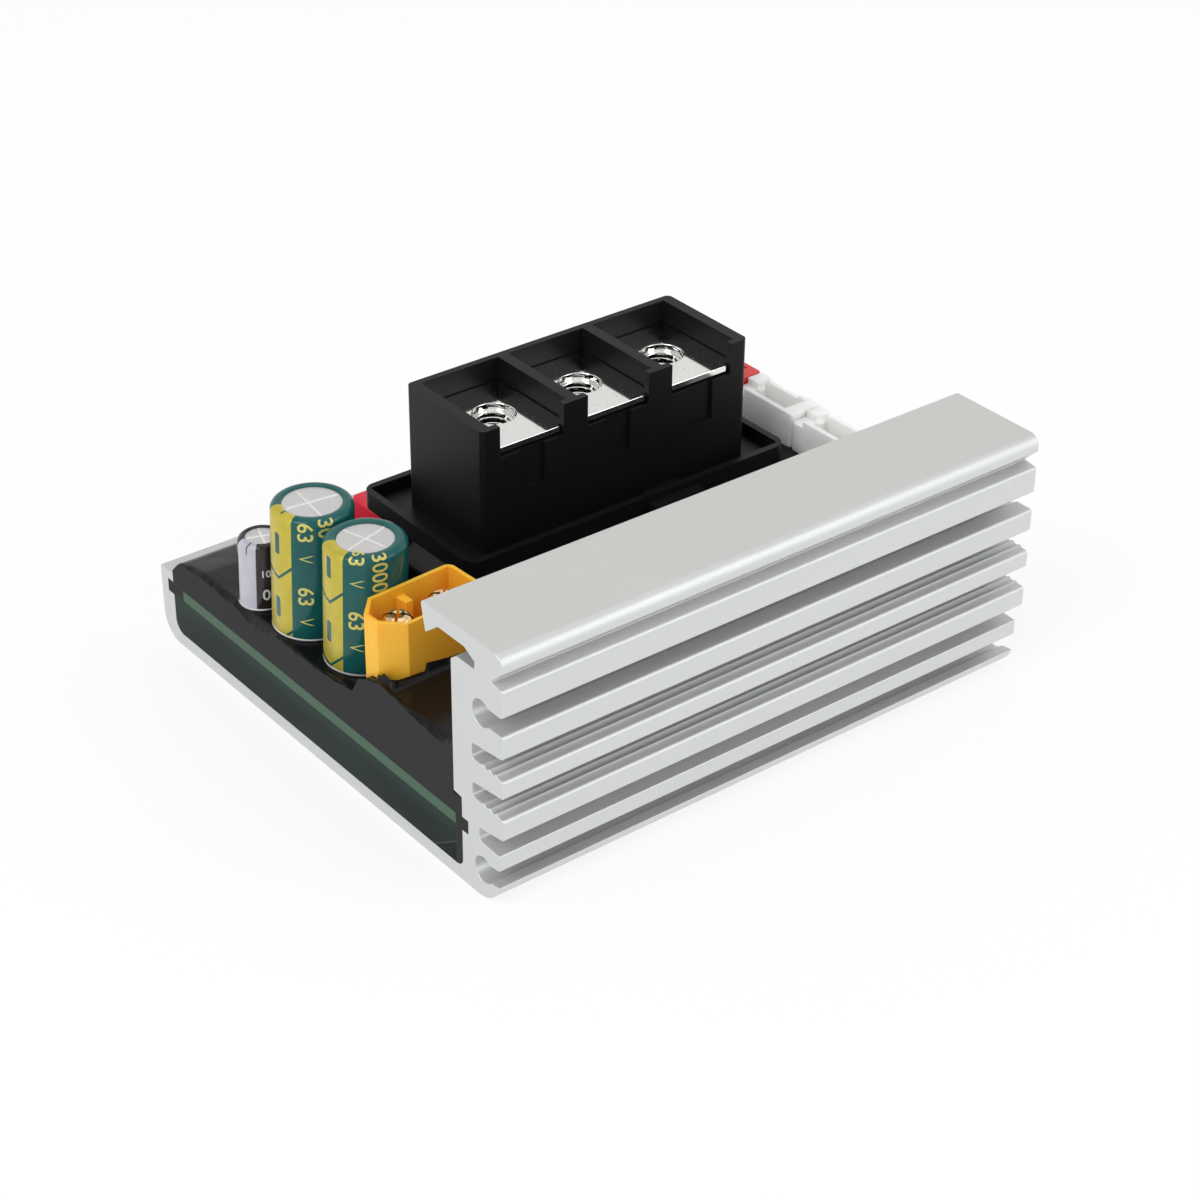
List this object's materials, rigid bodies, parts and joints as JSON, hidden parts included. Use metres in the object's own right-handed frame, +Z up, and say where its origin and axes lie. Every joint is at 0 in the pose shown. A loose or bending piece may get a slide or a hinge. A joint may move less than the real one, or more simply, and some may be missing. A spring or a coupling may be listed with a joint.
{
  "type": "motor controller",
  "caption": "Potted scooter motor controller in a finned aluminium extrusion, open on top, with a battery socket, three screw terminals and signal headers.",
  "frame": {"origin": "middle of the flat underside", "axes": "+X along the extrusion, from the battery socket's end to the signal headers' end; +Y from the fins to the low wall; +Z up"},
  "size_m": [0.086, 0.0786, 0.0394],
  "materials": {
    "aluminium": "matt anodised extrusion, sawn ends",
    "board": "glass-fibre board",
    "potting": "dark potting resin",
    "underfill": "dark-green resin",
    "socket_plastic": "yellow nylon",
    "gold_pin": "gold-plated",
    "block_plastic": "black moulding",
    "film_red": "red epoxy box",
    "tinned_wire": "tinned copper",
    "package": "moulded package",
    "soft_pad": "soft thermal pad",
    "header_red": "red nylon",
    "header_white": "white nylon",
    "nickel": "nickel-plated brass",
    "can_metal": "drawn can",
    "seal_rubber": "rubber seal",
    "sleeve_green": "printed shrink sleeve",
    "sleeve_dark": "printed shrink sleeve"
  },
  "bodies": {
    "root": {"battery_pin_negative": "gold_pin", "battery_pin_positive": "gold_pin", "battery_socket_shell": "socket_plastic", "circuit_board": "board", "film_capacitor": "film_red", "film_capacitor_leads": "tinned_wire", "gate_drivers": "package", "heatsink_housing": "aluminium", "high_side_transistors": "package", "inductor": "package", "large_capacitor_1_can": "can_metal", "large_capacitor_1_leads": "tinned_wire", "large_capacitor_1_seal": "seal_rubber", "large_capacitor_1_sleeve": "sleeve_green", "large_capacitor_2_can": "can_metal", "large_capacitor_2_leads": "tinned_wire", "large_capacitor_2_seal": "seal_rubber", "large_capacitor_2_sleeve": "sleeve_green", "low_side_transistors": "package", "phase_lug_1": "nickel", "phase_lug_2": "nickel", "phase_lug_3": "nickel", "potting_resin": "potting", "processor": "package", "regulator": "package", "shunt_resistors": "package", "signal_header_red": "header_red", "signal_header_red_pins": "tinned_wire", "signal_header_white_1": "header_white", "signal_header_white_1_pins": "tinned_wire", "signal_header_white_2": "header_white", "signal_header_white_2_pins": "tinned_wire", "small_capacitor_can": "can_metal", "small_capacitor_leads": "tinned_wire", "small_capacitor_seal": "seal_rubber", "small_capacitor_sleeve": "sleeve_dark", "terminal_block": "block_plastic", "thermal_pad": "soft_pad", "underfill_resin": "underfill"}
  },
  "joints": []
}
